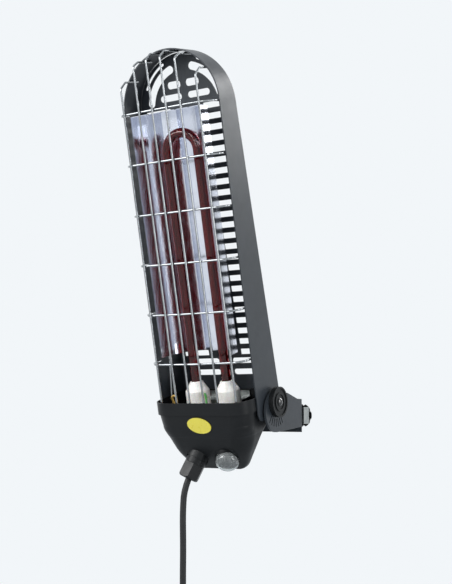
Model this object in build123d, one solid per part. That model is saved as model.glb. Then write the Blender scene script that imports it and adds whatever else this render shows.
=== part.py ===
"""Parasol heater lamp: tilting infrared head on a one-sided pole bracket.

Millimetres, +Z up, the lamp faces -Y. The origin is on the axis of the pole
clamp, at the middle of its height. The head is drawn upright about its own
hinge axis and then tilted and placed as one.
"""
import math
import os

from build123d import *

os.makedirs("parts", exist_ok=True)

# Driving dimensions: sheet-metal body
BODY_HALF = 70.0        # half the width of the arched side band
SHEET = 1.5             # steel sheet of band and back panel
ARCH_Z = 373.0          # centre of the round top above the hinge axis
FRONT_Y = -37.3         # front edge of the side band
BACK_Y = 20.4           # outer face of the back panel at the hinge
BACK_LEAN = 3.18        # the back panel leans forward by this, degrees
TAB_DROP = 17.4         # side band reaches this far below the hinge axis
TAB_RADIUS = 11.0

# Back panel louvres
SLOT_PITCH = 13.48
SLOT_HIGH = 7.2
SLOT_COUNT = 24
SLOT_FIRST = 62.0       # lowest window of the side columns
SLOT_INNER = 24.0
SLOT_OUTER = 61.0

# Wire guard
WIRE = 2.5
HOOP_PITCH = 62.0
HOOP_COUNT = 6
HOOP_FIRST = 61.0       # lowest hoop above the hinge axis
GUARD_Y = -62.7
RIB_INNER = 10.1
RIB_MIDDLE = 30.1
RIB_OUTER = 54.3
RIB_MIDDLE_SET = 0.9    # the guard's face is slightly crowned
RIB_OUTER_SET = 3.4
RIB_TOP_INNER = 430.0
RIB_TOP_MIDDLE = 426.0
RIB_TOP_OUTER = 403.0
BEND = 6.0
WELD = 0.35             # wires sink this far into each other at a weld

# Reflector trough
MIRROR = 0.8
MIRROR_LOW = 69.0
MIRROR_HIGH = 368.0
MIRROR_FRONT_X = 50.5
MIRROR_FRONT_Y = -53.0
MIRROR_BEND_X = 46.0
MIRROR_BEND_Y = -28.0
MIRROR_FLANK_X = 34.0
MIRROR_FLANK_Y = -9.5
MIRROR_REAR_X = 14.0
MIRROR_REAR_Y = -4.5
MIRROR_RIDGE_Y = -11.0
STAY_WIDE = 44.0
STAY_HIGH = 12.0
STAY_LOW_Z = 92.0
STAY_TOP_Z = 330.0

# Quartz hairpin lamp
TUBE_RADIUS = 6.0
TUBE_WALL = 1.1
LEG_X = 22.5
TUBE_Y = -24.0
TUBE_TOP = 348.0
TUBE_FOOT = 24.0
COIL_RADIUS = 1.4
HOLDER_RADIUS = 15.2
HOLDER_LOW = -16.0
HOLDER_SHOULDER = 21.0
HOLDER_TOP = 33.0
HOLDER_TIP = 7.6
SHELF_WIDE = 60.0
FIT = 0.25              # radial clearance of slip fits
SEAT = 0.3              # gap between pieces that only lie against each other

# Bottom cup
RIM_Z = 13.6
COLLAR_LOW = -1.9
CUP_HALF = BODY_HALF - SHEET - SEAT
CUP_FRONT = -65.5
CUP_BACK = 17.6
COLLAR_STEP = 1.8       # the collar stands proud of the bowl
COLLAR_WALL = 1.2
CUP_WALL = 2.2
CUP_CORNER = 22.0
CUP_LOW = -77.3
COVER_SPLIT_LOW = -31.0  # front edge of the rear cover at the bottom

# Badge, switch and gland on the cup
BADGE_WIDE = 34.0
BADGE_HIGH = 20.0
BADGE_THICK = 0.7
BADGE_Z = -14.5
PORT_X = 22.5
SWITCH_AT = (PORT_X, -44.5, -61.5)
SWITCH_AXIS = (0.30, -0.73, -0.61)
GLAND_AT = (-PORT_X, -43.0, -61.5)
GLAND_AXIS = (-0.33, -0.50, -0.80)
BEZEL_RADIUS = 13.0
BOOT_RADIUS = 14.6
BOOT_HIGH = 10.0
BOOT_WALL = 1.0
BARREL_RADIUS = 8.2
RUN_FIT = 0.08          # radial clearance of a sliding fit
BUTTON_RADIUS = 6.5
GLAND_THREAD = 10.0
GLAND_FLANGE = 13.0
PAD_THICK = 4.0
GLAND_HEX = 25.0
GLAND_NUT_LONG = 20.0
SEAL_RADIUS = 8.0
CORD_DIAMETER = 8.0
CORD_BORE = CORD_DIAMETER / 2 + FIT

# Hinge and bracket
TILT = 13.5             # the head leans forward by this at rest, degrees
HINGE_BOLT = 4.0
BOLT_HEAD_IN = 12.2
WASHER_THICK = 2.0
WASHER_RADIUS = 15.0
EAR_THICK = 3.0
EAR_RADIUS = 25.5
EAR_DROP = 11.5         # the ear's round is centred below the hinge axis
KNOB_RADIUS = 18.8
KNOB_THICK = 6.0
CAP_RADIUS = 5.0
ARM_REACH = 69.9        # hinge axis to the rear face of the back plate
ARM_TOP = 4.2
ARM_LOW = -38.0
TICK_COUNT = 7
TICK_STEP = 11.0
TICK_LONG = 10.0
TICK_WIDE = 1.6
TICK_RADIUS = 25.5

# Pole clamp
POLE_RADIUS = 19.1      # grips a 38 mm pole
POLE_X = 17.0           # pole axis, to the right of the head's middle
SADDLE_BACK = 2.6
SADDLE_HALF = 17.0
JAW_SHEET = 2.5
JAW_HIGH = 21.5
JAW_FLANGE_Y = -8.0     # front face of the jaw's flanges from the pole axis
JAW_LIP = 11.5
BOLT_X = 45.0
CLAMP_BOLT = 4.0
STAR_RADIUS = 17.0
STAR_LOBES = 7
STAR_THICK = 10.0
STAR_LOBE = 4.6
STAR_CROWN = 17.6
STAR_NECK = 2.5

# Supply cord
TURN_PITCH = 8.7
COIL_TURNS = 2.5        # turns in each layer
COIL_LAYERS = 4
COIL_MIDDLE = 44.0      # radius at the middle of the turns
COIL_SIDE_X = -52.0
COIL_Y = -131.0
COIL_Z = -284.0
COIL_TAIL = 25.0
PLUG_LONG = 44.0
PLUG_RADIUS = 18.5
PIN_SPACING = 19.0
PIN_RADIUS = 2.4
PIN_LONG = 19.0

ARM_X = BODY_HALF + WASHER_THICK
HINGE_X = -POLE_X
HINGE_Y = -(POLE_RADIUS + SADDLE_BACK + ARM_REACH)
CLAMP_Z = (ARM_TOP + ARM_LOW) / 2
HINGE_Z = -CLAMP_Z
HEAD = Location((HINGE_X, HINGE_Y, HINGE_Z), (TILT, 0, 0))
BRACKET = Location((HINGE_X, HINGE_Y, HINGE_Z))
LEAN_SIN = math.sin(math.radians(BACK_LEAN))
LEAN_COS = math.cos(math.radians(BACK_LEAN))
BACK_PLANE = Plane(origin=(0, BACK_Y, 0), x_dir=(1, 0, 0), z_dir=(0, -LEAN_COS, -LEAN_SIN))


def save(name, shape, where=HEAD):
    """Place a sub-part and write it under its own name."""
    placed = where * shape
    placed.label = name
    export_step(placed, "parts/" + name + ".step")


def group(solids):
    """Several separate solids kept in one node."""
    return Compound(children=list(solids))


def back_at(z):
    """Y of the back panel's outer face at height z."""
    return BACK_Y - z * LEAN_SIN / LEAN_COS


def along(point, direction, distance=0.0):
    """A plane on a port's axis, its Z pointing out of the cup."""
    axis = Vector(*direction).normalized()
    return Plane(origin=Vector(*point) + axis * distance, x_dir=(1, 0, 0), z_dir=axis)


def drum(plane, radius, height):
    """A cylinder that grows from the plane along its normal."""
    return extrude(plane * Circle(radius), height)


def hexagon(plane, across_flats, height):
    """A hexagonal prism that grows from the plane along its normal."""
    return extrude(plane * RegularPolygon(across_flats / 2, 6, major_radius=False), height)


def rod(points, radii, radius):
    """A round wire along straight runs with tangent bends."""
    path = FilletPolyline(*points, radius=radii)
    start = path % 0
    return sweep(Plane(origin=path @ 0, z_dir=start) * Circle(radius), path=path)


# Side band and back panel
def arch_outline(half):
    """Arched outline in the XZ plane, open far below the hinge."""
    low = -3 * TAB_DROP
    tall = ARCH_Z - low
    box = Pos(0, low + tall / 2) * Rectangle(2 * half, tall)
    return Plane.XZ * (box + Pos(0, ARCH_Z) * Circle(half))


def side_outline():
    """Side view of the band: straight front edge, leaning back, round tab."""
    top = ARCH_Z + 2 * BODY_HALF
    corner = (FRONT_Y, -TAB_DROP)
    face = make_face(
        Polyline(
            (FRONT_Y, top),
            corner,
            (FRONT_Y + 2 * TAB_RADIUS, -TAB_DROP),
            (back_at(-2), -2),
            (back_at(top), top),
            close=True,
        )
    )
    low = face.vertices().sort_by_distance(Vector(*corner, 0))[0]
    return Plane.YZ * fillet(low, TAB_RADIUS)


def side_band():
    ring = arch_outline(BODY_HALF) - arch_outline(BODY_HALF - SHEET)
    tube = extrude(ring, 2 * BODY_HALF, both=True)
    return tube & extrude(side_outline(), 2 * BODY_HALF, both=True)


def slot(x_low, x_high, z, high=SLOT_HIGH, corner=1.0):
    middle = Pos((x_low + x_high) / 2, z)
    return middle * RectangleRounded(x_high - x_low, high, corner)


def arc_slot(inner, outer, start, end):
    """A curved slot about the centre of the arch."""
    middle = (inner + outer) / 2
    arc = CenterArc((0, ARCH_Z), middle, start, end - start)
    return SlotArc(arc, outer - inner)


def back_panel():
    half = BODY_HALF - SHEET - SEAT
    tall = ARCH_Z + 2
    plate = Pos(0, tall / 2) * Rectangle(2 * half, tall) + Pos(0, ARCH_Z) * Circle(half)
    holes = []
    for row in range(SLOT_COUNT):
        z = SLOT_FIRST + row * SLOT_PITCH
        holes.append(slot(SLOT_INNER, SLOT_OUTER, z))
        holes.append(slot(-SLOT_OUTER, -SLOT_INNER, z))
    for z in (36.0, 50.5):
        holes.append(slot(10, 54, z, 7.4, 3.6))
        holes.append(slot(-54, -10, z, 7.4, 3.6))
    for side in (-1, 1):
        holes.append(Pos(side * 20.5, 388.5) * RectangleRounded(32, 8, 3.8))
        holes.append(Pos(side * 13.5, 403.5) * RectangleRounded(19, 9, 3.6))
    holes.append(arc_slot(47, 57, 14, 72))
    holes.append(arc_slot(47, 57, 108, 166))
    holes.append(arc_slot(61, 64.4, 30, 66))
    holes.append(arc_slot(61, 64.4, 114, 150))
    for hole in holes:
        plate -= hole
    return extrude(BACK_PLANE * plate, SHEET)


# Reflector and its stays
def mirror_points(shift):
    """Half of the trough's section, moved forward by a sheet thickness."""
    return [
        (MIRROR_FRONT_X - shift, MIRROR_FRONT_Y),
        (MIRROR_BEND_X - shift, MIRROR_BEND_Y - shift / 2),
        (MIRROR_FLANK_X - shift / 2, MIRROR_FLANK_Y - shift),
        (MIRROR_REAR_X, MIRROR_REAR_Y - shift),
        (0, MIRROR_RIDGE_Y - shift),
    ]


def reflector():
    outer = mirror_points(0)
    inner = mirror_points(MIRROR)
    left = [(-x, y) for x, y in reversed(outer[:-1])]
    left_in = [(-x, y) for x, y in reversed(inner[:-1])]
    ring = outer + left + list(reversed(inner + left_in))
    trough = Pos(0, 0, MIRROR_LOW) * extrude(make_face(Polyline(*ring, close=True)), MIRROR_HIGH - MIRROR_LOW)
    lid = make_face(Polyline(*(outer + left), close=True))
    lid = Pos(0, 0, MIRROR_HIGH - MIRROR) * extrude(lid, MIRROR)
    return trough + lid


def reflector_stay(z):
    """A folded strip between the reflector's back and the panel."""
    front = MIRROR_REAR_Y + SEAT
    rear = back_at(z + STAY_HIGH / 2) - SHEET / LEAN_COS - SEAT
    block = Pos(0, (front + rear) / 2, z) * Box(STAY_WIDE, rear - front, STAY_HIGH)
    hollow = Pos(0, (front + rear) / 2, z) * Box(STAY_WIDE - 2 * SHEET, rear - front - 2 * SHEET, 2 * STAY_HIGH)
    return block - hollow


# Welded wire guard
def rib_path(x, setback, top):
    """One long wire: up the front, over the bend and back under the arch."""
    reach = math.sqrt((BODY_HALF - SHEET - WIRE / 2 - SEAT / 3) ** 2 - x * x)
    y = GUARD_Y + setback
    end_y = FRONT_Y + 16
    return [(x, y, 2.0), (x, y, top), (x, y + 11, ARCH_Z + reach - 1.5), (x, end_y, ARCH_Z + reach)]


def hoop_path(z):
    """One cross wire: crowned front and both ends turned back to the band."""
    y = GUARD_Y + WIRE - WELD
    corner = BODY_HALF - SHEET - WIRE / 2 - SEAT / 2
    edge = RIB_OUTER + 5
    half = [
        (RIB_OUTER, y + RIB_OUTER_SET),
        (edge, y + RIB_OUTER_SET + 1.5),
        (corner, y + 14),
        (corner, FRONT_Y + 5),
    ]
    left = [(-px, py, z) for px, py in reversed(half)]
    right = [(px, py, z) for px, py in half]
    middle = [(-RIB_MIDDLE, y + RIB_MIDDLE_SET, z), (0, y - 0.2, z), (RIB_MIDDLE, y + RIB_MIDDLE_SET, z)]
    return left + middle + right


def guard():
    wires = []
    for x, setback, top in (
        (RIB_INNER, 0, RIB_TOP_INNER),
        (RIB_MIDDLE, RIB_MIDDLE_SET, RIB_TOP_MIDDLE),
        (RIB_OUTER, RIB_OUTER_SET, RIB_TOP_OUTER),
    ):
        wires.append(rod(rib_path(x, setback, top), [BEND, BEND / 2], WIRE / 2))
        wires.append(rod(rib_path(-x, setback, top), [BEND, BEND / 2], WIRE / 2))
    for row in range(HOOP_COUNT):
        z = HOOP_FIRST + row * HOOP_PITCH
        points = hoop_path(z)
        radii = [4, 3, 5, 20, 60, 20, 5, 3, 4]
        wires.append(rod(points, radii, WIRE / 2))
    whole = wires[0]
    return whole.fuse(*wires[1:])


# Quartz lamp, filament and ceramic ends
def hairpin(radius):
    """The tube's centre line is two legs and a half circle."""
    top = TUBE_TOP - TUBE_RADIUS - LEG_X
    left = Line((-LEG_X, TUBE_Y, TUBE_FOOT), (-LEG_X, TUBE_Y, top))
    bend = ThreePointArc((-LEG_X, TUBE_Y, top), (0, TUBE_Y, top + LEG_X), (LEG_X, TUBE_Y, top))
    right = Line((LEG_X, TUBE_Y, top), (LEG_X, TUBE_Y, TUBE_FOOT))
    path = Wire([left, bend, right])
    return sweep(Plane(origin=(-LEG_X, TUBE_Y, TUBE_FOOT), z_dir=(0, 0, 1)) * Circle(radius), path=path)


def holder(side):
    """A turned ceramic end with a conical shoulder and a blind socket."""
    outline = Polyline(
        (0, HOLDER_LOW),
        (HOLDER_RADIUS, HOLDER_LOW),
        (HOLDER_RADIUS, HOLDER_SHOULDER),
        (HOLDER_TIP, HOLDER_TOP),
        (TUBE_RADIUS + FIT, HOLDER_TOP),
        (TUBE_RADIUS + FIT, TUBE_FOOT - FIT),
        (0, TUBE_FOOT - FIT),
        close=True,
    )
    body = revolve(Plane.XZ * make_face(outline), Axis.Z)
    return Pos(side * LEG_X, TUBE_Y, 0) * body


def holder_plate():
    """Folded shelf inside the cup that carries both ceramic ends."""
    level = HOLDER_LOW - SEAT - SHEET / 2
    front, back = TUBE_Y - 15, TUBE_Y + 19
    plate = Pos(0, (front + back) / 2, level) * Box(2 * LEG_X + 46, back - front, SHEET)
    for side in (-1, 1):
        plate -= Pos(side * LEG_X, TUBE_Y, level) * Cylinder(4, 20)
    step = 4.0
    riser = Pos(0, back - SHEET / 2, (level + step) / 2) * Box(SHELF_WIDE, SHEET, step - level + SHEET)
    wall = CUP_BACK - COLLAR_WALL - SEAT
    shelf = Pos(0, (back - SHEET + wall) / 2, step) * Box(SHELF_WIDE, wall - back + SHEET, SHEET)
    flange = Pos(0, wall - SHEET / 2, step + 4) * Box(SHELF_WIDE, SHEET, 8)
    return plate + riser + shelf + flange


# Bottom cup and rear cover
def cup_section(z, half, front, rear, corner, rear_corner):
    """Rounded rectangle across the cup at height z."""
    face = Pos(0, (front + rear) / 2, z) * Rectangle(2 * half, rear - front)
    face = fillet(face.vertices().sort_by(Axis.Y)[:2], corner)
    return fillet(face.vertices().sort_by(Axis.Y)[-2:], rear_corner)


def cup_sections(inset):
    """Sections of the bowl from the collar to the chin, drawn in by a wall."""
    rows = (
        (COLLAR_LOW, CUP_HALF - COLLAR_STEP, CUP_FRONT + COLLAR_STEP, CUP_BACK, CUP_CORNER, 4.0),
        (-15.3, CUP_HALF - 3.6, CUP_FRONT + 2.8, 9.0, CUP_CORNER, 5.0),
        (-31.8, CUP_HALF - 7.2, CUP_FRONT + 6.9, -9.0, CUP_CORNER, 8.0),
        (-43.2, CUP_HALF - 11.2, CUP_FRONT + 11.5, -15.5, 20.0, 9.0),
        (-52.5, CUP_HALF - 15.7, CUP_FRONT + 16.2, -17.5, 15.5, 9.0),
        (-61.0, CUP_HALF - 20.7, CUP_FRONT + 21.7, -18.5, 12.0, 8.0),
        (-70.0, CUP_HALF - 26.2, CUP_FRONT + 28.5, -19.5, 8.0, 6.0),
        (CUP_LOW, CUP_HALF - 35.2, CUP_FRONT + 34.0, -23.0, 3.8, 3.0),
    )
    sections = []
    for z, half, front, rear, corner, rear_corner in rows:
        lift = inset if z == CUP_LOW else 0.0
        tight = min(0.42 * (rear - front - 2 * inset), corner - inset / 2)
        snug = min(0.40 * (rear - front - 2 * inset), rear_corner)
        sections.append(
            cup_section(z + lift, half - inset, front + inset, rear - inset, tight if inset else corner, snug)
        )
    return sections


def cup_shell():
    """Collar and bowl as one thin shell, open at the top."""
    rim = cup_section(COLLAR_LOW, CUP_HALF, CUP_FRONT, CUP_BACK, CUP_CORNER, 4.0)
    solid = loft(cup_sections(0)) + extrude(rim, RIM_Z - COLLAR_LOW)
    inner = cup_sections(CUP_WALL)
    hollow = loft(inner) + extrude(inner[0], COLLAR_STEP + 1)
    bore = cup_section(
        COLLAR_LOW + COLLAR_STEP,
        CUP_HALF - COLLAR_WALL,
        CUP_FRONT + COLLAR_WALL,
        CUP_BACK - COLLAR_WALL,
        CUP_CORNER - COLLAR_WALL,
        3.0,
    )
    return solid - (hollow + extrude(bore, RIM_Z + 1))


def cover_region():
    """Everything behind the seam between bowl and rear cover."""
    seam = Polyline(
        (2 * BODY_HALF, -12.0),
        (12.0, -12.0),
        (-16.0, -30.0),
        (COVER_SPLIT_LOW + 4, -48.0),
        (COVER_SPLIT_LOW, CUP_LOW - 5),
        (2 * BODY_HALF, CUP_LOW - 5),
        close=True,
    )
    return extrude(Plane.YZ * make_face(seam), 2 * BODY_HALF, both=True)


def port_seat(point, direction, radius, hollow):
    """A round seat on the bowl with a full pad under it."""
    skirt = drum(along(point, direction, -14.0), radius, 14.5) - hollow
    return skirt + drum(along(point, direction, 0.5 - PAD_THICK), radius, PAD_THICK)


def cup_parts():
    shell = cup_shell()
    region = cover_region()
    hollow = loft(cup_sections(CUP_WALL + 1.5))
    front = shell - region
    front += port_seat(SWITCH_AT, SWITCH_AXIS, BOOT_RADIUS + 1.2, hollow) - region
    front += port_seat(GLAND_AT, GLAND_AXIS, GLAND_FLANGE + 1.2, hollow) - region
    front -= drum(along(SWITCH_AT, SWITCH_AXIS, 0.5), BOOT_RADIUS + 0.6, 30)
    front -= drum(along(GLAND_AT, GLAND_AXIS, 0.5), GLAND_FLANGE + 1.2, 30)
    front -= drum(along(SWITCH_AT, SWITCH_AXIS, -20), BARREL_RADIUS + FIT, 40)
    front -= drum(along(GLAND_AT, GLAND_AXIS, -20), GLAND_THREAD + FIT, 40)
    front -= disc_x(HINGE_BOLT + 2 * FIT, BODY_HALF - 20, BODY_HALF + 20)
    rear = shell & region
    return front, rear


def badge():
    """Plain oval plate on the front of the bowl."""
    plate = Plane(origin=(0, CUP_FRONT + 2.1, BADGE_Z), x_dir=(1, 0, 0), z_dir=(0, -1, -0.13))
    return extrude(plate * Rot(0, 0, -8) * Ellipse(BADGE_WIDE / 2, BADGE_HIGH / 2), BADGE_THICK)


# Switch, cable gland and small pieces on the cup
def switch_bezel():
    ring = drum(along(SWITCH_AT, SWITCH_AXIS, 0.8), BEZEL_RADIUS, 2.5)
    barrel = drum(along(SWITCH_AT, SWITCH_AXIS, -12), BARREL_RADIUS, 13)
    return ring + barrel - drum(along(SWITCH_AT, SWITCH_AXIS, -13), BUTTON_RADIUS + RUN_FIT, 20)


def push_button():
    return drum(along(SWITCH_AT, SWITCH_AXIS, -6), BUTTON_RADIUS, 14)


def switch_body():
    return drum(along(SWITCH_AT, SWITCH_AXIS, -20), BARREL_RADIUS, 7.7)


def domed(plane, radius, height, soft):
    """A cylinder on the plane with its far edge rounded over."""
    body = Pos(0, 0, height / 2) * Cylinder(radius, height)
    return plane.location * fillet(body.edges().group_by(Axis.Z)[-1], soft)


def turned(face, plane):
    """Revolve a half outline and stand it on a port's plane."""
    return plane.location * revolve(Plane.XZ * face, Axis.Z)


def switch_boot():
    seat = along(SWITCH_AT, SWITCH_AXIS, 0.8)
    outside = domed(seat, BOOT_RADIUS, BOOT_HIGH, 0.7 * BOOT_HIGH)
    inside = domed(seat.offset(-1), BOOT_RADIUS - BOOT_WALL, BOOT_HIGH, 0.7 * BOOT_HIGH - BOOT_WALL)
    return outside - inside


def gland_body():
    flange = drum(along(GLAND_AT, GLAND_AXIS, 0.8), GLAND_FLANGE, 7)
    thread = drum(along(GLAND_AT, GLAND_AXIS, -14), GLAND_THREAD, 15)
    return flange + thread - drum(along(GLAND_AT, GLAND_AXIS, -15), CORD_BORE, 30)


def gland_nut():
    """Hexagon cap nut, its end turned to a dome round the cord."""
    seat = along(GLAND_AT, GLAND_AXIS, 8.1)
    nut = hexagon(seat, GLAND_HEX - 0.8, GLAND_NUT_LONG)
    dome = domed(seat, GLAND_HEX * 0.58, GLAND_NUT_LONG, 6.0)
    recess = drum(along(GLAND_AT, GLAND_AXIS, 7), SEAL_RADIUS + SEAT, 13)
    return (nut & dome) - recess - drum(along(GLAND_AT, GLAND_AXIS, 5), CORD_BORE, 40)


def gland_seal():
    ring = drum(along(GLAND_AT, GLAND_AXIS, 8.2), SEAL_RADIUS, 11.4)
    return ring - drum(along(GLAND_AT, GLAND_AXIS, 5), CORD_BORE, 40)


def terminal_block():
    level = HOLDER_LOW + 7
    block = Pos(0, TUBE_Y + 8, level) * Box(11, 16, 13.4)
    for step in (-5, 5):
        block -= Pos(0, TUBE_Y + 8 + step, level + 5) * Cylinder(1.8, 6)
    return block


def support_rod():
    return rod([(-49.3, -36, 92), (-50.2, -36.5, 60), (-54.5, -37, 4)], [20], 1.0)


def round_screw(x, y, z, out):
    """Pan head on a short shank, its head on the side that out points to."""
    seat = Plane(origin=(x, y, z), x_dir=(1, 0, 0) if out[0] == 0 else (0, 1, 0), z_dir=out)
    head = extrude(seat * Circle(3.2), 1.8)
    return head - extrude(seat.offset(1.0) * Rectangle(4.2, 0.9), 2)


def panel_screws():
    screws = []
    for x, z in ((-46, 36), (46, 36), (-56, 18), (56, 18), (0, 432)):
        y = back_at(z) + 0.05
        screws.append(round_screw(x, y, z, (0, LEAN_COS, LEAN_SIN)))
    return screws


def band_screws():
    """Pan heads through the side band into the collar."""
    left = [round_screw(-BODY_HALF - 0.05, y, 6, (-1, 0, 0)) for y in (-24, 8)]
    return left


# Hinge hardware
def disc_x(radius, low, high):
    """A disc about the hinge axis from one x to another."""
    return Pos((low + high) / 2, 0, 0) * (Rot(0, 90, 0) * Cylinder(radius, high - low))


def hinge_bolt():
    """Hexagon head inside the cup, its shank out through wall, washer and ear."""
    inner = BODY_HALF - BOLT_HEAD_IN
    head = Pos(inner, 0, 0) * (Rot(0, 90, 0) * extrude(RegularPolygon(7.4, 6), 4.6))
    return head + disc_x(HINGE_BOLT, inner + 1, ARM_X + EAR_THICK + 4)


def friction_washer():
    return disc_x(WASHER_RADIUS, BODY_HALF + SEAT / 2, ARM_X - SEAT / 2) - disc_x(HINGE_BOLT + FIT, BODY_HALF - 10, BODY_HALF + 20)


def tilt_knob():
    """Flat turned disc with a raised rim and a raised inner ring."""
    low = ARM_X + EAR_THICK + SEAT
    high = low + KNOB_THICK
    knob = disc_x(KNOB_RADIUS, low, high)
    knob -= disc_x(KNOB_RADIUS - 2.2, high - 1.2, high + 1) - disc_x(11.5, high - 2, high + 2)
    knob -= disc_x(9.3, high - 0.9, high + 1)
    return knob - disc_x(HINGE_BOLT + FIT, low - 1, high - 1.5)


def knob_cap():
    seat = ARM_X + EAR_THICK + SEAT + KNOB_THICK - 0.9
    dome = Pos(seat - 3.0, 0, 0) * Sphere(CAP_RADIUS + 1.2)
    return dome & disc_x(CAP_RADIUS, seat + 0.05, seat + 6)


# Bracket
def arm_outline():
    """Side view of the ear and arm about the hinge axis."""
    reach = ARM_REACH
    arm = Polyline(
        (2, EAR_RADIUS - EAR_DROP),
        (30, 11.5),
        (56, ARM_TOP + 0.3),
        (reach, ARM_TOP),
        (reach, ARM_LOW + 7),
        (31, -34.7),
        (2, -EAR_RADIUS - EAR_DROP),
        close=True,
    )
    return make_face(arm) + Pos(0, -EAR_DROP) * Circle(EAR_RADIUS)


def bracket_arm():
    outline = arm_outline()
    outline -= Circle(HINGE_BOLT + FIT)
    for row in range(TICK_COUNT):
        turn = -90 + (row - (TICK_COUNT - 1) / 2) * TICK_STEP
        tick = Pos(TICK_RADIUS, 0) * SlotOverall(TICK_LONG, TICK_WIDE)
        outline -= Rot(0, 0, turn) * tick
    side = Plane(origin=(ARM_X, 0, 0), x_dir=(0, 1, 0), z_dir=(1, 0, 0))
    ear = extrude(side * outline, EAR_THICK)
    right, left = ARM_X + EAR_THICK, POLE_X - BOLT_X - 13
    high = ARM_TOP - ARM_LOW
    back = Pos((left + right) / 2, ARM_REACH - EAR_THICK / 2, CLAMP_Z)
    plate = back * Box(right - left, EAR_THICK, high)
    plate = fillet(plate.edges().filter_by(Axis.Y).group_by(Axis.X)[0], 6)
    whole = ear + plate
    corner = Vector(right, ARM_REACH)
    bend = [e for e in whole.edges().filter_by(Axis.Z) if (Vector(e.center().X, e.center().Y) - corner).length < 0.01]
    whole = fillet(bend, EAR_THICK - 0.4)
    for side_x in (-1, 1):
        hole = Rot(90, 0, 0) * Cylinder(CLAMP_BOLT + FIT, 20)
        whole -= Pos(POLE_X + side_x * BOLT_X, ARM_REACH, CLAMP_Z) * hole
    return whole


# Pole clamp
def pole_saddle():
    """Grooved block between the back plate and the pole."""
    front = -POLE_RADIUS - SADDLE_BACK
    block = Pos(0, (front - 12) / 2, 0) * Box(2 * SADDLE_HALF, -12 - front, ARM_TOP - ARM_LOW - 6)
    return block - Cylinder(POLE_RADIUS, 100)


def rear_jaw():
    """Strap with a half-round middle, flat flanges and bent-forward lips."""
    wrap = Circle(POLE_RADIUS + JAW_SHEET) & Pos(0, JAW_FLANGE_Y + 50) * Rectangle(100, 100)
    end = BOLT_X + 13.8
    flange_y = JAW_FLANGE_Y + JAW_SHEET / 2
    strap = wrap + Pos(0, flange_y) * Rectangle(2 * end, JAW_SHEET)
    for side in (-1, 1):
        lip = Rectangle(JAW_SHEET, JAW_LIP + JAW_SHEET)
        strap += Pos(side * (end - JAW_SHEET / 2), JAW_FLANGE_Y + JAW_SHEET - (JAW_LIP + JAW_SHEET) / 2) * lip
    strap -= Circle(POLE_RADIUS)
    body = Pos(0, 0, -JAW_HIGH / 2) * extrude(strap, JAW_HIGH)
    for side in (-1, 1):
        body -= Pos(side * BOLT_X, 0, 0) * (Rot(90, 0, 0) * Cylinder(CLAMP_BOLT + FIT, 60))
    return body


def disc_y(radius, low, high):
    return Pos(0, (low + high) / 2, 0) * (Rot(90, 0, 0) * Cylinder(radius, high - low))


def clamp_bolts():
    """Carriage bolts, their domed heads on the front of the back plate."""
    front = -POLE_RADIUS - SADDLE_BACK - EAR_THICK
    head = disc_y(8.5, front - 3.4, front - 0.1) & (Pos(0, front + 7.5, 0) * Sphere(11.2))
    bolt = head + disc_y(CLAMP_BOLT, front - 1, 6.6)
    return [Pos(side * BOLT_X, 0, 0) * bolt for side in (-1, 1)]


def clamp_washer():
    low = JAW_FLANGE_Y + JAW_SHEET + 0.05
    return disc_y(9.0, low, low + 1.6) - disc_y(CLAMP_BOLT + FIT, -30, 30)


def star_knob():
    """Round-lobed hand knob on its neck."""
    low = JAW_FLANGE_Y + JAW_SHEET + 1.7
    lobe_ring = STAR_RADIUS - STAR_LOBE
    star = Circle(lobe_ring + 0.6)
    for row in range(STAR_LOBES):
        star += Rot(0, 0, 360 / STAR_LOBES * row) * Pos(lobe_ring, 0) * Circle(STAR_LOBE)
    base = Plane(origin=(0, low + STAR_NECK, 0), x_dir=(1, 0, 0), z_dir=(0, 1, 0))
    body = extrude(base * star, STAR_THICK)
    crown = disc_y(STAR_RADIUS, low, low + STAR_NECK + STAR_THICK)
    ball = Pos(0, low + STAR_NECK + STAR_THICK - STAR_CROWN, 0) * Sphere(STAR_CROWN)
    body = body & ball & crown
    neck = disc_y(7.5, low, low + STAR_NECK + 1)
    return body + neck - disc_y(CLAMP_BOLT + FIT, low - 1, low + 11.2)


# Supply cord
def cord_route():
    """Chosen points of the hanging stretch, from inside the gland downwards."""
    mouth = (HEAD * Pos(*(Vector(*GLAND_AT) + Vector(*GLAND_AXIS).normalized() * 2))).position
    return [
        (mouth.X, mouth.Y, mouth.Z),
        (-51.4, -130.0, -85.0),
        (-53.2, -131.6, -118.0),
        (-52.4, -131.2, -160.0),
        (-52.6, -131.5, -204.0),
        (COIL_SIDE_X, COIL_Y, -243.0),
        (COIL_SIDE_X, COIL_Y, COIL_Z + CORD_DIAMETER),
    ]


def easy_bends(points):
    """The largest radii that each pair of runs allows."""
    radii = []
    for before, corner, after in zip(points, points[1:], points[2:]):
        one = Vector(*corner) - Vector(*before)
        two = Vector(*after) - Vector(*corner)
        half_turn = math.radians(one.get_angle(two)) / 2
        radii.append(0.45 * min(one.length, two.length) / math.tan(half_turn))
    return radii


def coil_point(turn):
    """Centre line of the put-away coil after so many turns."""
    middle = COIL_LAYERS * COIL_TURNS
    layer, part = divmod(min(turn, middle - 1e-9), COIL_TURNS)
    fall = part if layer % 2 == 0 else COIL_TURNS - part
    radius = COIL_MIDDLE + (COIL_TURNS / 2 - fall) * TURN_PITCH
    depth = layer
    for crossing in range(1, COIL_LAYERS):
        offset = turn - crossing * COIL_TURNS
        if abs(offset) < 0.25:
            ease = (offset + 0.25) / 0.5
            depth = crossing - 1 + ease * ease * (3 - 2 * ease)
    angle = -2 * math.pi * turn
    outer = COIL_MIDDLE + COIL_TURNS / 2 * TURN_PITCH
    return Vector(
        COIL_SIDE_X - outer + radius * math.cos(angle),
        COIL_Y + depth * TURN_PITCH,
        COIL_Z + radius * math.sin(angle),
    )


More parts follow.
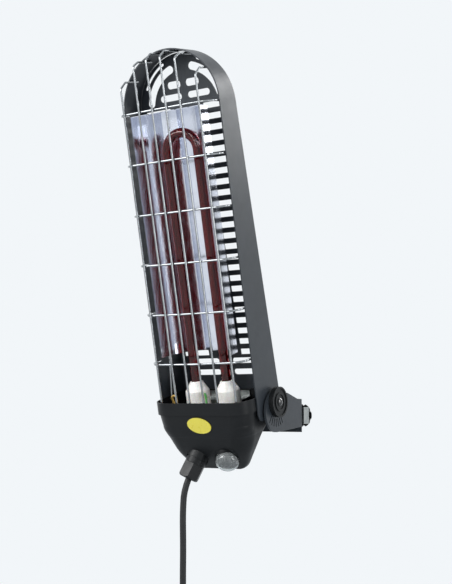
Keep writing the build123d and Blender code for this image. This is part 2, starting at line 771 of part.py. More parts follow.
def coil_tangent(turn):
    step = 0.002
    whole = COIL_LAYERS * COIL_TURNS
    if turn < step or turn > whole - step:
        return Vector(0, 0, -1)
    return (coil_point(turn + step) - coil_point(turn - step)).normalized()


def biarc(start, start_way, end, end_way):
    """Two arcs that meet smoothly between two points with set directions."""
    span = end - start
    ways = start_way + end_way
    slope = span.dot(ways)
    bow = 2 * (1 - start_way.dot(end_way))
    reach = (math.sqrt(slope * slope + bow * span.dot(span)) - slope) / bow
    first = start + start_way * reach
    last = end - end_way * reach
    joint = (first + last) * 0.5
    way = (last - first).normalized()
    return [TangentArc(start, joint, tangent=start_way), TangentArc(joint, end, tangent=way)]


def cord_coil():
    whole = COIL_LAYERS * COIL_TURNS
    steps = int(4 * whole)
    start = coil_point(0)
    edges = [Line(start + Vector(0, 0, CORD_DIAMETER), start)]
    for step in range(steps):
        one, two = step / 4, (step + 1) / 4
        edges += biarc(coil_point(one), coil_tangent(one), coil_point(two), coil_tangent(two))
    end = coil_point(whole)
    edges.append(Line(end, end + Vector(0, 0, -COIL_TAIL)))
    path = Wire(edges)
    section = Plane(origin=path @ 0, z_dir=(0, 0, -1)) * Circle(CORD_DIAMETER / 2)
    return sweep(section, path=path)


def coil_gap():
    """Least clear gap between turns, from points along the centre line."""
    whole = COIL_LAYERS * COIL_TURNS
    count = int(48 * whole)
    points = [coil_point(i / 48) for i in range(count + 1)]
    least = 1000.0
    for i, one in enumerate(points):
        for two in points[i + 16:]:
            least = min(least, (one - two).length)
    return least - CORD_DIAMETER


def cord_lead():
    points = cord_route()
    radii = easy_bends(points)
    print("cord bends", [round(radius) for radius in radii])
    return rod(points, radii, CORD_DIAMETER / 2)


def cord_tie():
    """Strap round all turns at the top of the coil."""
    half = COIL_TURNS / 2 * TURN_PITCH + CORD_DIAMETER / 2
    deep = (COIL_LAYERS - 1) * TURN_PITCH + CORD_DIAMETER
    outer = COIL_MIDDLE + COIL_TURNS / 2 * TURN_PITCH
    centre = Pos(
        COIL_SIDE_X - outer,
        COIL_Y + (COIL_LAYERS - 1) * TURN_PITCH / 2,
        COIL_Z + COIL_MIDDLE - 0.3,
    )
    inside = (14, deep + 2 * SEAT, 2 * half + 2)
    ring = Box(12, inside[1] + 3, inside[2] + 3) - Box(*inside)
    return centre * ring


def plug_parts():
    """Round mains plug hanging on the coil's tail, with two pins."""
    end = coil_point(COIL_LAYERS * COIL_TURNS)
    face_down = Plane(origin=end - Vector(0, 0, COIL_TAIL), x_dir=(1, 0, 0), z_dir=(0, 0, -1))
    outline = Polyline(
        (0, 0),
        (5.6, 0),
        (7.2, 14),
        (15.5, 24),
        (PLUG_RADIUS, 30),
        (PLUG_RADIUS, PLUG_LONG),
        (0, PLUG_LONG),
        close=True,
    )
    body = turned(make_face(outline), face_down)
    pins = []
    for side in (-1, 1):
        pin = face_down.offset(PLUG_LONG + 0.02) * Pos(side * PIN_SPACING / 2, 0)
        pins.append(extrude(pin * Circle(PIN_RADIUS), PIN_LONG))
    return body, pins


front_cup, rear_cover = cup_parts()
plug_body, plug_pins = plug_parts()
save("side_band", side_band() - disc_x(HINGE_BOLT + FIT, BODY_HALF - 20, BODY_HALF + 20))
save("back_panel", back_panel())
save("reflector", reflector())
save("reflector_stays", group([reflector_stay(STAY_LOW_Z), reflector_stay(STAY_TOP_Z)]))
save("wire_guard", guard())
save("quartz_lamp", hairpin(TUBE_RADIUS) - hairpin(TUBE_RADIUS - TUBE_WALL))
save("filament", hairpin(COIL_RADIUS))
save("ceramic_holder_left", holder(-1))
save("ceramic_holder_right", holder(1))
save("holder_plate", holder_plate())
save("terminal_block", terminal_block())
save("support_rod", support_rod())
save("base_cup", front_cup)
save("cup_rear_cover", rear_cover)
save("badge", badge())
save("switch_bezel", switch_bezel())
save("switch_boot", switch_boot())
save("push_button", push_button())
save("switch_body", switch_body())
save("gland_body", gland_body())
save("gland_nut", gland_nut())
save("gland_seal", gland_seal())
save("panel_screws", group(panel_screws()))
save("band_screws", group(band_screws()))
save("hinge_bolt", hinge_bolt())
save("friction_washer", friction_washer(), BRACKET)
save("tilt_knob", tilt_knob(), BRACKET)
save("knob_cap", knob_cap(), BRACKET)
save("bracket_arm", bracket_arm(), BRACKET)
save("pole_saddle", pole_saddle(), Pos(0, 0, 0))
save("rear_jaw", rear_jaw(), Pos(0, 0, 0))
save("clamp_bolts", group(clamp_bolts()), Pos(0, 0, 0))
for name, side in (("right", 1), ("left", -1)):
    save("clamp_washer_" + name, clamp_washer(), Pos(side * BOLT_X, 0, 0))
    save("clamp_knob_" + name, star_knob(), Pos(side * BOLT_X, 0, 0))
save("cord_lead", cord_lead(), Pos(0, 0, 0))
save("cord_coil", cord_coil(), Pos(0, 0, 0))
save("cord_tie", cord_tie(), Pos(0, 0, 0))
save("plug_body", plug_body, Pos(0, 0, 0))
save("plug_pins", group(plug_pins), Pos(0, 0, 0))
print("least gap between the coil's turns", round(coil_gap(), 2), "mm")
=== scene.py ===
import math

import bpy
import numpy as np
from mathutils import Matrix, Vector


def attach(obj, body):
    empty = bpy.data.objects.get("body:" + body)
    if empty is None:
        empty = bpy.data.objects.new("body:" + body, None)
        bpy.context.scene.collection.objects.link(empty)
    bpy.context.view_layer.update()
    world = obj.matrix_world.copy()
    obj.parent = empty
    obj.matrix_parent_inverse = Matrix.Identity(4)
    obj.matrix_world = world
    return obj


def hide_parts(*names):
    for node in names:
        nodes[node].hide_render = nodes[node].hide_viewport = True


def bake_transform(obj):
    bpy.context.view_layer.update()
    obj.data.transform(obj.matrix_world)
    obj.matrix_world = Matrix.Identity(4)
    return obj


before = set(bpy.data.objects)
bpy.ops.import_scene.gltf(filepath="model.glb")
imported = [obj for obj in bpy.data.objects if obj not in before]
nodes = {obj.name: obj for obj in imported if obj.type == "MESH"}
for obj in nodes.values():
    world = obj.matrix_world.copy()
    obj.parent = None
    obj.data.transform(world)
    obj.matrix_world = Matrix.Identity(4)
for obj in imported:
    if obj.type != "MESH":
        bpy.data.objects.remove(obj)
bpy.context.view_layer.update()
scene = bpy.context.scene
scene.view_settings.view_transform = "Standard"

MM = 0.001

# Head of the heater: its hinge point and its forward tilt at rest
HINGE = np.array([-17.0, -91.6, 16.9]) * MM
TILT = math.radians(13.5)

# Quartz lamp, measured in the head's own frame
LEG_X = 22.5 * MM
LAMP_Y = -24.0 * MM
LAMP_FOOT = 26.0 * MM
LAMP_BEND = 319.5 * MM
SPIRAL_RADIUS = 1.9 * MM
SPIRAL_PITCH = 3.4 * MM
SPIRAL_WIRE = 0.32 * MM

# Supply cord: route points repeated from the part, then the coil's formula
CORD_DIAMETER = 8.0 * MM
CORD_ROUTE = (
    (-0.04016, -0.11965, -0.05473),
    (-0.0514, -0.1300, -0.0850),
    (-0.0532, -0.1316, -0.1180),
    (-0.0524, -0.1312, -0.1600),
    (-0.0526, -0.1315, -0.2040),
    (-0.0520, -0.1310, -0.2430),
)
COIL_START = np.array([-0.052, -0.131, -0.284])
COIL_MIDDLE = 44.0 * MM
TURN_PITCH = 8.7 * MM
LAYER_TURNS = 2.5
LAYERS = 4
POINTS_PER_TURN = 16
COIL_TAIL = 25.0 * MM

# Bowl's upper rows in the head's frame, mm, repeated from the part:
# height, half width, front, rear and corner radius
CUP_ROWS = (
    (-1.9, 66.4, -63.7, 17.6, 22.0),
    (-15.3, 64.6, -62.7, 9.0, 22.0),
    (-31.8, 61.0, -58.6, -9.0, 22.0),
    (-43.2, 57.0, -54.0, -15.5, 20.0),
)
# Seam with the rear cover: depth and height, the last pair where it stops
COVER_SEAM = ((-16.0, -30.0), (12.0, -12.0), (60.0, -11.9))
SKIN_TOP = -1.5
SKIN_LOW = -33.0
SKIN_PROUD = 0.35
SKIN_SUNK = 0.2
SKIN_FADE = 3.0
REAR_MARGIN = 6.0
SEAM_MARGIN = 1.0
SKIN_ROWS = 26
SKIN_STEPS = 12

# Round pale floor, small enough to stay under the camera's view
FLOOR_RADIUS = 1.2
FLOOR_Z = -0.47


def to_linear(hexcode):
    """sRGB hex to linear colour."""
    channels = np.array([int(hexcode[i:i + 2], 16) for i in (1, 3, 5)]) / 255.0
    low = channels / 12.92
    high = ((channels + 0.055) / 1.055) ** 2.4
    return (*np.where(channels <= 0.04045, low, high).tolist(), 1.0)


def add(tree, kind, links=(), **settings):
    """Add a node, set its sockets and properties, and link its inputs."""
    node = tree.nodes.new("ShaderNode" + kind)
    for key, value in settings.items():
        name = key.replace("_", " ")
        if name in node.inputs:
            node.inputs[name].default_value = value
        else:
            setattr(node, key, value)
    for socket, source in links:
        tree.links.new(source, node.inputs[socket])
    return node


def material(name):
    """A new material with its object-space position and an empty shader."""
    made = bpy.data.materials.new(name)
    made.use_nodes = True
    tree = made.node_tree
    tree.nodes.clear()
    place = add(tree, "TexCoord").outputs["Object"]
    shader = add(tree, "BsdfPrincipled")
    out = add(tree, "OutputMaterial")
    tree.links.new(shader.outputs[0], out.inputs["Surface"])
    return made, tree, place, shader


def per_mm(size):
    """Noise scale whose grains are this many millimetres across."""
    return 1000.0 / size


def grain(tree, place, shader, size, height, strength=0.5, detail=3.0):
    """Fine bump whose grains are size mm across and height mm deep."""
    noise = add(tree, "TexNoise", [("Vector", place)], Scale=per_mm(size), Detail=detail)
    bump = add(tree, "Bump", [("Height", noise.outputs["Fac"])], Strength=strength, Distance=height * MM)
    tree.links.new(bump.outputs[0], shader.inputs["Normal"])
    return noise


def tint(tree, place, shader, one, two, size, socket="Base Color", sharp=0.25):
    """Slow drift between two colours, in patches size mm across."""
    noise = add(tree, "TexNoise", [("Vector", place)], Scale=per_mm(size), Detail=4.0)
    ramp = add(tree, "ValToRGB", [("Fac", noise.outputs["Fac"])])
    ramp.color_ramp.elements[0].position = 0.5 - sharp
    ramp.color_ramp.elements[1].position = 0.5 + sharp
    ramp.color_ramp.elements[0].color = to_linear(one)
    ramp.color_ramp.elements[1].color = to_linear(two)
    tree.links.new(ramp.outputs["Color"], shader.inputs[socket])


def vary_roughness(tree, place, shader, low, high, size):
    """Roughness that wanders between two values, in patches size mm across."""
    noise = add(tree, "TexNoise", [("Vector", place)], Scale=per_mm(size), Detail=5.0)
    spread = add(tree, "MapRange", [("Value", noise.outputs["Fac"])])
    spread.inputs["From Min"].default_value = 0.3
    spread.inputs["From Max"].default_value = 0.7
    spread.inputs["To Min"].default_value = low
    spread.inputs["To Max"].default_value = high
    tree.links.new(spread.outputs[0], shader.inputs["Roughness"])


def powder_coat():
    """Satin charcoal powder coat on sheet steel: soft wide highlights, faint orange peel."""
    made, tree, place, shader = material("powder_coated_steel")
    tint(tree, place, shader, "#24292e", "#2a2f35", 45)
    shader.inputs["Specular IOR Level"].default_value = 0.35
    shader.inputs["Coat Weight"].default_value = 0.1
    shader.inputs["Coat Roughness"].default_value = 0.35
    vary_roughness(tree, place, shader, 0.36, 0.46, 12)
    grain(tree, place, shader, 1.4, 0.03, 0.35)
    return made


def moulded_polyamide(name, one, two, rough):
    """Injection moulded glass-filled polyamide: dark, fine spark-eroded grain."""
    made, tree, place, shader = material(name)
    tint(tree, place, shader, one, two, 30)
    shader.inputs["IOR"].default_value = 1.53
    shader.inputs["Specular IOR Level"].default_value = 0.2
    vary_roughness(tree, place, shader, rough - 0.05, rough + 0.06, 9)
    grain(tree, place, shader, 0.9, 0.03, 0.4)
    return made


def plated_wire():
    """Bright nickel-chrome plating on drawn wire: mirror with slight haze."""
    made, tree, place, shader = material("chrome_plated_wire")
    tint(tree, place, shader, "#84878a", "#a9acae", 20)
    shader.inputs["Metallic"].default_value = 1.0
    vary_roughness(tree, place, shader, 0.08, 0.2, 8)
    grain(tree, place, shader, 1.1, 0.01, 0.2)
    return made


def bright_aluminium():
    """Anodised rolled aluminium: mirror-like, faintly blue, rolling marks along its length."""
    made, tree, place, shader = material("anodised_aluminium")
    tint(tree, place, shader, "#cdd2e0", "#e6e9f1", 60)
    shader.inputs["Metallic"].default_value = 1.0
    rolled = add(tree, "Mapping", [("Vector", place)], Scale=(1.0, 1.0, 0.03))
    vary_roughness(tree, rolled.outputs[0], shader, 0.1, 0.22, 3)
    grain(tree, rolled.outputs[0], shader, 2.4, 0.02, 0.35)
    return made


def zinc_plate():
    """Blue-passivated zinc on pressed steel: dull silver with cloudy spangle."""
    made, tree, place, shader = material("zinc_plated_steel")
    tint(tree, place, shader, "#8d9293", "#b4b7b4", 4)
    shader.inputs["Metallic"].default_value = 1.0
    vary_roughness(tree, place, shader, 0.28, 0.45, 3)
    grain(tree, place, shader, 0.8, 0.02, 0.3)
    return made


def ruby_quartz():
    """Fused quartz doped dark ruby: clear, glossy, almost black where it is deep."""
    made, tree, place, shader = material("ruby_quartz_glass")
    tint(tree, place, shader, "#860b15", "#a0121c", 40)
    shader.inputs["Transmission Weight"].default_value = 0.93
    shader.inputs["IOR"].default_value = 1.46
    vary_roughness(tree, place, shader, 0.02, 0.06, 15)
    grain(tree, place, shader, 9, 0.03, 0.15)
    return made


def drawn_tungsten():
    """Drawn tungsten wire, dull grey."""
    made, tree, place, shader = material("drawn_tungsten")
    tint(tree, place, shader, "#4a4643", "#6d6762", 5)
    shader.inputs["Metallic"].default_value = 1.0
    vary_roughness(tree, place, shader, 0.35, 0.5, 2)
    return made


def steatite():
    """Pressed steatite: off-white, slightly glossy, with faint grey speckle."""
    made, tree, place, shader = material("steatite_ceramic")
    tint(tree, place, shader, "#e9e6e0", "#fbfaf7", 1.3, sharp=0.12)
    shader.inputs["IOR"].default_value = 1.6
    shader.inputs["Subsurface Weight"].default_value = 0.08
    shader.inputs["Subsurface Scale"].default_value = 0.001
    vary_roughness(tree, place, shader, 0.3, 0.42, 4)
    grain(tree, place, shader, 0.7, 0.02, 0.3)
    return made


def yellow_foil():
    """Glossy yellow polyester foil, bare, slightly uneven."""
    made, tree, place, shader = material("yellow_polyester_foil")
    tint(tree, place, shader, "#ccbf3a", "#d3c742", 10)
    shader.inputs["Coat Weight"].default_value = 0.6
    shader.inputs["Coat Roughness"].default_value = 0.08
    vary_roughness(tree, place, shader, 0.25, 0.35, 5)
    grain(tree, place, shader, 5, 0.03, 0.2)
    return made


def clear_silicone():
    """Clear silicone boot: soft, slightly cloudy, rounded highlights."""
    made, tree, place, shader = material("clear_silicone")
    tint(tree, place, shader, "#dfe4e4", "#f0f3f3", 6)
    shader.inputs["Transmission Weight"].default_value = 0.9
    shader.inputs["IOR"].default_value = 1.41
    vary_roughness(tree, place, shader, 0.08, 0.18, 3)
    grain(tree, place, shader, 2, 0.03, 0.25)
    return made


def neoprene(name, one, two):
    """Extruded or moulded rubber: dark, matt, with a soft sheen."""
    made, tree, place, shader = material(name)
    tint(tree, place, shader, one, two, 15)
    shader.inputs["IOR"].default_value = 1.52
    shader.inputs["Specular IOR Level"].default_value = 0.3
    vary_roughness(tree, place, shader, 0.42, 0.58, 5)
    grain(tree, place, shader, 0.8, 0.03, 0.4)
    return made


def gloss_cap():
    """Polished black ABS: deep gloss."""
    made, tree, place, shader = material("polished_abs")
    tint(tree, place, shader, "#0c0d0e", "#121416", 6)
    shader.inputs["Coat Weight"].default_value = 0.8
    shader.inputs["Coat Roughness"].default_value = 0.03
    vary_roughness(tree, place, shader, 0.08, 0.14, 4)
    return made


def nickel_brass():
    """Nickel-plated brass pins: warm bright metal."""
    made, tree, place, shader = material("nickel_plated_brass")
    tint(tree, place, shader, "#c3bfb2", "#d8d4c6", 3)
    shader.inputs["Metallic"].default_value = 1.0
    vary_roughness(tree, place, shader, 0.16, 0.28, 2)
    return made


def striped_insulation():
    """Earth wire: soft PVC, green with a yellow stripe wound by its UV map."""
    made, tree, place, shader = material("green_yellow_pvc")
    around = add(tree, "UVMap")
    split = add(tree, "SeparateXYZ", [("Vector", around.outputs[0])])
    turn = add(tree, "Math", [(0, split.outputs[0])], operation="GREATER_THAN")
    turn.inputs[1].default_value = 0.5
    ramp = add(tree, "ValToRGB", [("Fac", turn.outputs[0])])
    ramp.color_ramp.elements[0].color = to_linear("#2f7d32")
    ramp.color_ramp.elements[1].color = to_linear("#e6d53a")
    tree.links.new(ramp.outputs["Color"], shader.inputs["Base Color"])
    vary_roughness(tree, place, shader, 0.35, 0.45, 3)
    return made


def glass_sleeve():
    """Silicone-dipped glass fibre sleeving: pale gold braid."""
    made, tree, place, shader = material("glass_fibre_sleeving")
    tint(tree, place, shader, "#b68d3c", "#e0bd6a", 1.5)
    vary_roughness(tree, place, shader, 0.4, 0.6, 1)
    grain(tree, place, shader, 0.9, 0.08, 0.6)
    return made


def dress(finish, *names):
    """Give carried-over nodes one finish."""
    for name in names:
        nodes[name].data.materials.clear()
        nodes[name].data.materials.append(finish)


def from_head(points):
    """Points of the head's own frame, tilted forward and moved to its hinge."""
    points = np.asarray(points, float)
    x, y, z = points[..., 0], points[..., 1], points[..., 2]
    c, s = math.cos(TILT), math.sin(TILT)
    return np.stack([x, y * c - z * s, y * s + z * c], axis=-1) + HINGE


def surface(name, grid, finish, body, close_u=True):
    """Mesh of a grid of points, rows along the piece and columns around it.

    A piece with no body is left for a blend between two bodies.
    """
    rows, cols = grid.shape[:2]
    wrap = cols if close_u else cols - 1
    i, j = np.meshgrid(np.arange(rows - 1), np.arange(wrap), indexing="ij")
    k = (j + 1) % cols
    faces = np.stack([i * cols + j, i * cols + k, (i + 1) * cols + k, (i + 1) * cols + j], axis=-1)
    faces = faces.reshape(-1, 4).tolist()
    if close_u:
        faces.append(list(range(cols))[::-1])
        faces.append([(rows - 1) * cols + c for c in range(cols)])
    mesh = bpy.data.meshes.new(name)
    mesh.from_pydata(grid.reshape(-1, 3).tolist(), [], faces)
    layer = mesh.uv_layers.new(name="UVMap")
    corners = np.zeros(len(mesh.loops), int)
    mesh.loops.foreach_get("vertex_index", corners)
    flat = np.stack([(corners % cols) / cols, (corners // cols) / rows], axis=-1)
    layer.data.foreach_set("uv", flat.ravel())
    mesh.polygons.foreach_set("use_smooth", np.ones(len(mesh.polygons), bool))
    mesh.materials.append(finish)
    piece = bpy.data.objects.new(name, mesh)
    scene.collection.objects.link(piece)
    if body:
        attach(piece, body)
    return piece


def around(centres, radius, count, guide):
    """Circle of count points square to a line at each of its points.

    With t the line's direction and g the guide, n = g - (g.t) t and b = t x n,
    and each ring is c + r (n cos a + b sin a).
    """
    way = np.gradient(centres, axis=0)
    way /= np.linalg.norm(way, axis=1, keepdims=True)
    guide = np.broadcast_to(np.asarray(guide, float), centres.shape)
    normal = guide - (guide * way).sum(1, keepdims=True) * way
    normal /= np.linalg.norm(normal, axis=1, keepdims=True)
    side = np.cross(way, normal)
    angle = np.linspace(0, 2 * np.pi, count, endpoint=False)[None, :, None]
    radius = np.broadcast_to(np.asarray(radius, float), (len(centres),))[:, None, None]
    return centres[:, None] + radius * (normal[:, None] * np.cos(angle) + side[:, None] * np.sin(angle))


def eased(points, steps=10):
    """Catmull-Rom line through a few points, as one array."""
    p = np.asarray(points, float)
    p = np.vstack([2 * p[0] - p[1], p, 2 * p[-1] - p[-2]])
    t = np.linspace(0, 1, steps, endpoint=False)[None, :, None]
    a, b, c, d = p[:-3, None], p[1:-2, None], p[2:-1, None], p[3:, None]
    line = 0.5 * (2 * b + (c - a) * t + (2 * a - 5 * b + 4 * c - d) * t**2 + (3 * b - a - 3 * c + d) * t**3)
    return np.vstack([line.reshape(-1, 3), p[-2]])


def spline_points(name, points):
    """The smooth line of a NURBS spline with these control points."""
    curve = bpy.data.curves.new(name, "CURVE")
    curve.dimensions = "3D"
    curve.resolution_u = 5
    spline = curve.splines.new("NURBS")
    spline.points.add(len(points) - 1)
    flat = np.hstack([points, np.ones((len(points), 1))])
    spline.points.foreach_set("co", flat.ravel())
    spline.order_u = 3
    spline.use_endpoint_u = True
    holder = bpy.data.objects.new(name, curve)
    scene.collection.objects.link(holder)
    mesh = bpy.data.meshes.new_from_object(holder)
    line = np.zeros(len(mesh.vertices) * 3)
    mesh.vertices.foreach_get("co", line)
    bpy.data.objects.remove(holder)
    bpy.data.meshes.remove(mesh)
    return line.reshape(-1, 3)


def coil_points():
    """Control points of the put-away coil.

    After t turns the radius rises and falls by one pitch a turn between the
    layers, and the depth steps by one pitch over half a turn at each change.
    """
    whole = LAYERS * LAYER_TURNS
    turn = np.arange(1, int(whole * POINTS_PER_TURN)) / POINTS_PER_TURN
    part = turn % (2 * LAYER_TURNS)
    fall = np.where(part < LAYER_TURNS, part, 2 * LAYER_TURNS - part)
    cut = (1 + math.cos(2 * math.pi / POINTS_PER_TURN)) / 2
    radius = (COIL_MIDDLE + (LAYER_TURNS / 2 - fall) * TURN_PITCH) / math.sqrt(cut)
    crossing = np.clip(np.round(turn / LAYER_TURNS), 1, LAYERS - 1)
    ease = np.clip((turn - crossing * LAYER_TURNS + 0.25) / 0.5, 0, 1)
    depth = crossing - 1 + ease * ease * (3 - 2 * ease)
    outer = COIL_MIDDLE + LAYER_TURNS / 2 * TURN_PITCH
    angle = -2 * np.pi * turn
    centre = COIL_START - np.array([outer, 0, 0])
    ring = np.stack([radius * np.cos(angle), depth * TURN_PITCH, radius * np.sin(angle)], axis=-1)
    return centre + ring


def supply_cord(finish):
    """One cord from the gland, down out of view and round the put-away coil."""
    end = COIL_START + np.array([0, (LAYERS - 1) * TURN_PITCH, 0])
    down = np.array([0, 0, 1])
    tail = np.array([end + down * 4 * MM, end - down * COIL_TAIL / 2, end - down * COIL_TAIL])
    start = np.array([COIL_START + down * 12 * MM])
    route = np.vstack([CORD_ROUTE, start, coil_points(), tail])
    line = spline_points("cord_line", route)
    grid = around(line, CORD_DIAMETER / 2, 16, (0, 1, 0))
    cord = surface("supply_cord", grid, finish, None)
    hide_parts("cord_lead", "cord_coil")
    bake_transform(cord)


def lamp_spiral(finish):
    """Wound filament: a fine helix carried up one leg, over the bend and down.

    The carrying line is two straight legs and a half circle; the wire stands
    off it by the spiral's radius and turns once a pitch.
    """
    leg = LAMP_BEND - LAMP_FOOT
    length = 2 * leg + math.pi * LEG_X
    count = int(length / SPIRAL_PITCH * 7)
    s = np.linspace(0, length, count)
    bend = np.clip((s - leg) / LEG_X, 0, math.pi)
    rise = np.where(s < leg, s, np.where(s > length - leg, length - s, leg))
    x = -LEG_X * np.cos(bend)
    z = LAMP_FOOT + rise + LEG_X * np.sin(bend)
    centre = np.stack([x, np.full_like(x, LAMP_Y), z], axis=-1)
    outward = np.stack([-np.cos(bend), np.zeros_like(x), np.sin(bend)], axis=-1)
    turn = 2 * np.pi * s / SPIRAL_PITCH
    front = np.array([0, -1.0, 0])
    wire = centre + SPIRAL_RADIUS * (outward * np.cos(turn)[:, None] + front * np.sin(turn)[:, None])
    grid = around(from_head(wire), SPIRAL_WIRE, 5, (0.31, 0.22, 0.92))
    spiral = surface("lamp_spiral", grid, finish, "head")
    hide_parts("filament")


def smooth_rows(heights, values, at):
    """Monotone cubic through rising heights: Hermite pieces with harmonic slopes."""
    x, y = np.asarray(heights, float), np.asarray(values, float)
    gap = np.diff(x)[:, None]
    rise = np.diff(y, axis=0) / gap
    same = rise[:-1] * rise[1:] > 0
    mean = np.where(same, 2 * rise[:-1] * rise[1:] / np.where(same, rise[:-1] + rise[1:], 1), 0)
    slope = np.vstack([rise[:1], mean, rise[-1:]])
    k = np.clip(np.searchsorted(x, at) - 1, 0, len(x) - 2)
    t = ((at - x[k]) / gap[k, 0])[:, None]
    h = gap[k]
    first = (1 + 2 * t) * (1 - t) ** 2 * y[k] + t * (1 - t) ** 2 * h * slope[k]
    return first + t * t * (3 - 2 * t) * y[k + 1] + t * t * (t - 1) * h * slope[k + 1]


def bowl_shoulder(finish):
    """Thin skin over the bowl under its collar, round the front and both sides.

    Each row is a U: straight side, quarter circle, straight front, quarter
    circle, straight side, with a point of a corner at its centre plus
    r (cos a, sin a). The sides stop short of the seam with the rear cover.
    """
    known = np.array(CUP_ROWS[::-1])
    at = np.linspace(SKIN_TOP, SKIN_LOW, SKIN_ROWS)
    half, front, rear, corner = smooth_rows(known[:, 0], known[:, 1:], np.minimum(at, known[-1, 0])).T
    proud = np.interp(at, (SKIN_LOW, SKIN_LOW + SKIN_FADE, SKIN_TOP), (-SKIN_SUNK, SKIN_PROUD, SKIN_PROUD))
    half, front = half + proud, front - proud
    seam = np.interp(at, [z for y, z in COVER_SEAM], [y for y, z in COVER_SEAM])
    end = np.minimum(rear - REAR_MARGIN, seam - SEAM_MARGIN)
    share = np.linspace(0, 1, SKIN_STEPS)[None]
    turn = np.radians(np.linspace(0, 90, SKIN_STEPS))[None]
    half, front, end, corner = (v[:, None] for v in (half, front, end, corner))
    side_y = end + (front + corner - end) * share
    left = np.stack([np.broadcast_to(-half, side_y.shape), side_y], axis=-1)
    bend_x = -half + corner - corner * np.cos(turn)
    bend = np.stack([bend_x, front + corner - corner * np.sin(turn)], axis=-1)
    flat_x = (-half + corner) * (1 - share)
    flat = np.stack([flat_x, np.broadcast_to(front, flat_x.shape)], axis=-1)
    one = np.concatenate([left[:, :-1], bend[:, :-1], flat], axis=1)
    other = one[:, -2::-1] * np.array([-1.0, 1.0])
    plan = np.concatenate([one, other], axis=1)
    level = np.broadcast_to(at[:, None, None], (*plan.shape[:2], 1))
    grid = from_head(np.concatenate([plan, level], axis=-1) * MM)
    surface("bowl_shoulder", grid, finish, "head", close_u=False)


def cup_wires(earth, sleeve):
    """Short wires that show inside the cup's mouth."""
    earth_run = [(-8, -28, 12), (-4, -36, 19), (2, -44, 17), (6, -50, 9), (8, -48, -2), (4, -40, -8)]
    gold_run = [(-52, -34, 4), (-50, -42, 16), (-42, -46, 19), (-38, -50, 14), (-40, -48, 2)]
    line = from_head(eased(np.array(earth_run) * MM))
    surface("earth_wire", around(line, 1.4 * MM, 12, (1, 0, 0)), earth, "head")
    line = from_head(eased(np.array(gold_run) * MM))
    surface("sleeved_wire", around(line, 1.3 * MM, 12, (0, 1, 0)), sleeve, "head")


def plain_stage():
    """Pale floor and backdrop; camera, metal and glass see the backdrop at its own colour."""
    angle = np.linspace(0, 2 * np.pi, 72, endpoint=False)
    level = np.full_like(angle, FLOOR_Z)
    ring = np.stack([FLOOR_RADIUS * np.cos(angle), FLOOR_RADIUS * np.sin(angle), level], axis=-1)
    mesh = bpy.data.meshes.new("floor")
    mesh.from_pydata(ring.tolist(), [], [list(range(len(ring)))])
    floor = bpy.data.objects.new("floor", mesh)
    scene.collection.objects.link(floor)
    made, tree, place, shader = material("pale_floor")
    tint(tree, place, shader, "#b7bcc0", "#bec3c7", 800)
    shader.inputs["Roughness"].default_value = 0.8
    mesh.materials.append(made)
    world = bpy.data.worlds.new("studio")
    world.use_nodes = True
    scene.world = world
    tree = world.node_tree
    tree.nodes.clear()
    place = add(tree, "TexCoord").outputs["Generated"]
    height = add(tree, "SeparateXYZ", [("Vector", place)])
    shade = add(tree, "ValToRGB", [("Fac", height.outputs["Z"])])
    shade.color_ramp.elements[0].color = to_linear("#a3a8ad")
    shade.color_ramp.elements[1].color = to_linear("#f4f6f8")
    lit = add(tree, "Background", [("Color", shade.outputs["Color"])], Strength=0.75)
    seen = add(tree, "Background", Color=to_linear("#f2f6f9"), Strength=1.0)
    path = add(tree, "LightPath").outputs
    bright = add(tree, "Math", [(0, path["Is Camera Ray"]), (1, path["Is Glossy Ray"])], operation="MAXIMUM")
    clear = add(tree, "Math", [(0, bright.outputs[0]), (1, path["Is Transmission Ray"])], operation="MAXIMUM")
    mix = add(tree, "MixShader", [(0, clear.outputs[0]), (1, lit.outputs[0]), (2, seen.outputs[0])])
    add(tree, "OutputWorld", [("Surface", mix.outputs[0])])


def lamp(name, place, target, size, power, tall=None):
    """Soft area light that looks at a point."""
    light = bpy.data.lights.new(name, "AREA")
    light.energy = power
    light.shape = "RECTANGLE"
    light.size = size
    light.size_y = tall or size
    holder = bpy.data.objects.new(name, light)
    scene.collection.objects.link(holder)
    place, target = np.array(place, float), np.array(target, float)
    holder.location = place
    holder.rotation_euler = Vector(target - place).to_track_quat("-Z", "Y").to_euler()


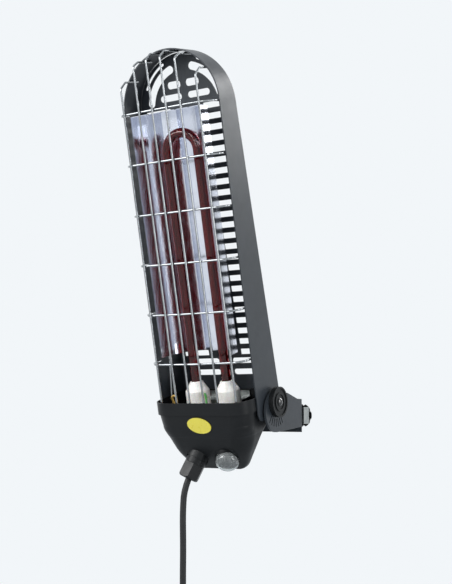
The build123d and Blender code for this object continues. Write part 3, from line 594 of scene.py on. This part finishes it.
def camera():
    """The photograph's viewing angle: from the front right, a little below."""
    data = bpy.data.cameras.new("camera")
    data.sensor_width = 36.0
    data.lens = 64.11
    data.clip_start = 0.05
    holder = bpy.data.objects.new("camera", data)
    holder.location = (0.685, -1.2204, 0.0071)
    holder.rotation_euler = (math.radians(96.47), 0.0, math.radians(31.793))
    scene.collection.objects.link(holder)
    scene.camera = holder


coated = powder_coat()
zinc = zinc_plate()
black = moulded_polyamide("moulded_polyamide", "#0d0f11", "#131517", 0.36)
knob_black = moulded_polyamide("knob_polyamide", "#0f1011", "#151719", 0.42)
rubber = neoprene("black_neoprene", "#161718", "#1f2021")
ceramic = steatite()
dress(coated, "side_band", "back_panel", "bracket_arm")
dress(black, "base_cup", "cup_rear_cover", "switch_bezel", "switch_body", "gland_body", "gland_nut", "pole_saddle")
dress(knob_black, "tilt_knob", "clamp_knob_right", "clamp_knob_left", "push_button")
dress(plated_wire(), "wire_guard", "support_rod")
dress(bright_aluminium(), "reflector")
dress(zinc, "reflector_stays", "holder_plate", "panel_screws", "band_screws", "hinge_bolt", "clamp_bolts")
dress(zinc, "rear_jaw", "clamp_washer_right", "clamp_washer_left")
dress(ruby_quartz(), "quartz_lamp")
dress(ceramic, "ceramic_holder_left", "ceramic_holder_right", "terminal_block")
dress(yellow_foil(), "badge")
dress(clear_silicone(), "switch_boot")
dress(rubber, "friction_washer", "gland_seal", "cord_tie", "plug_body")
dress(gloss_cap(), "knob_cap")
dress(nickel_brass(), "plug_pins")

camera()
supply_cord(neoprene("cord_neoprene", "#141516", "#1c1d1e"))
lamp_spiral(drawn_tungsten())
bowl_shoulder(black)
cup_wires(striped_insulation(), glass_sleeve())
plain_stage()
TARGET = (-0.02, -0.14, 0.2)
lamp("key_softbox", (-1.3, -1.9, 1.2), TARGET, 1.4, 52)
lamp("front_strip", (0.1, -2.4, 0.9), TARGET, 0.35, 14, 1.8)
lamp("right_strip", (1.8, -0.5, 0.5), TARGET, 0.5, 18, 1.6)
lamp("rear_rim", (0.6, 1.4, 1.2), TARGET, 0.8, 14)
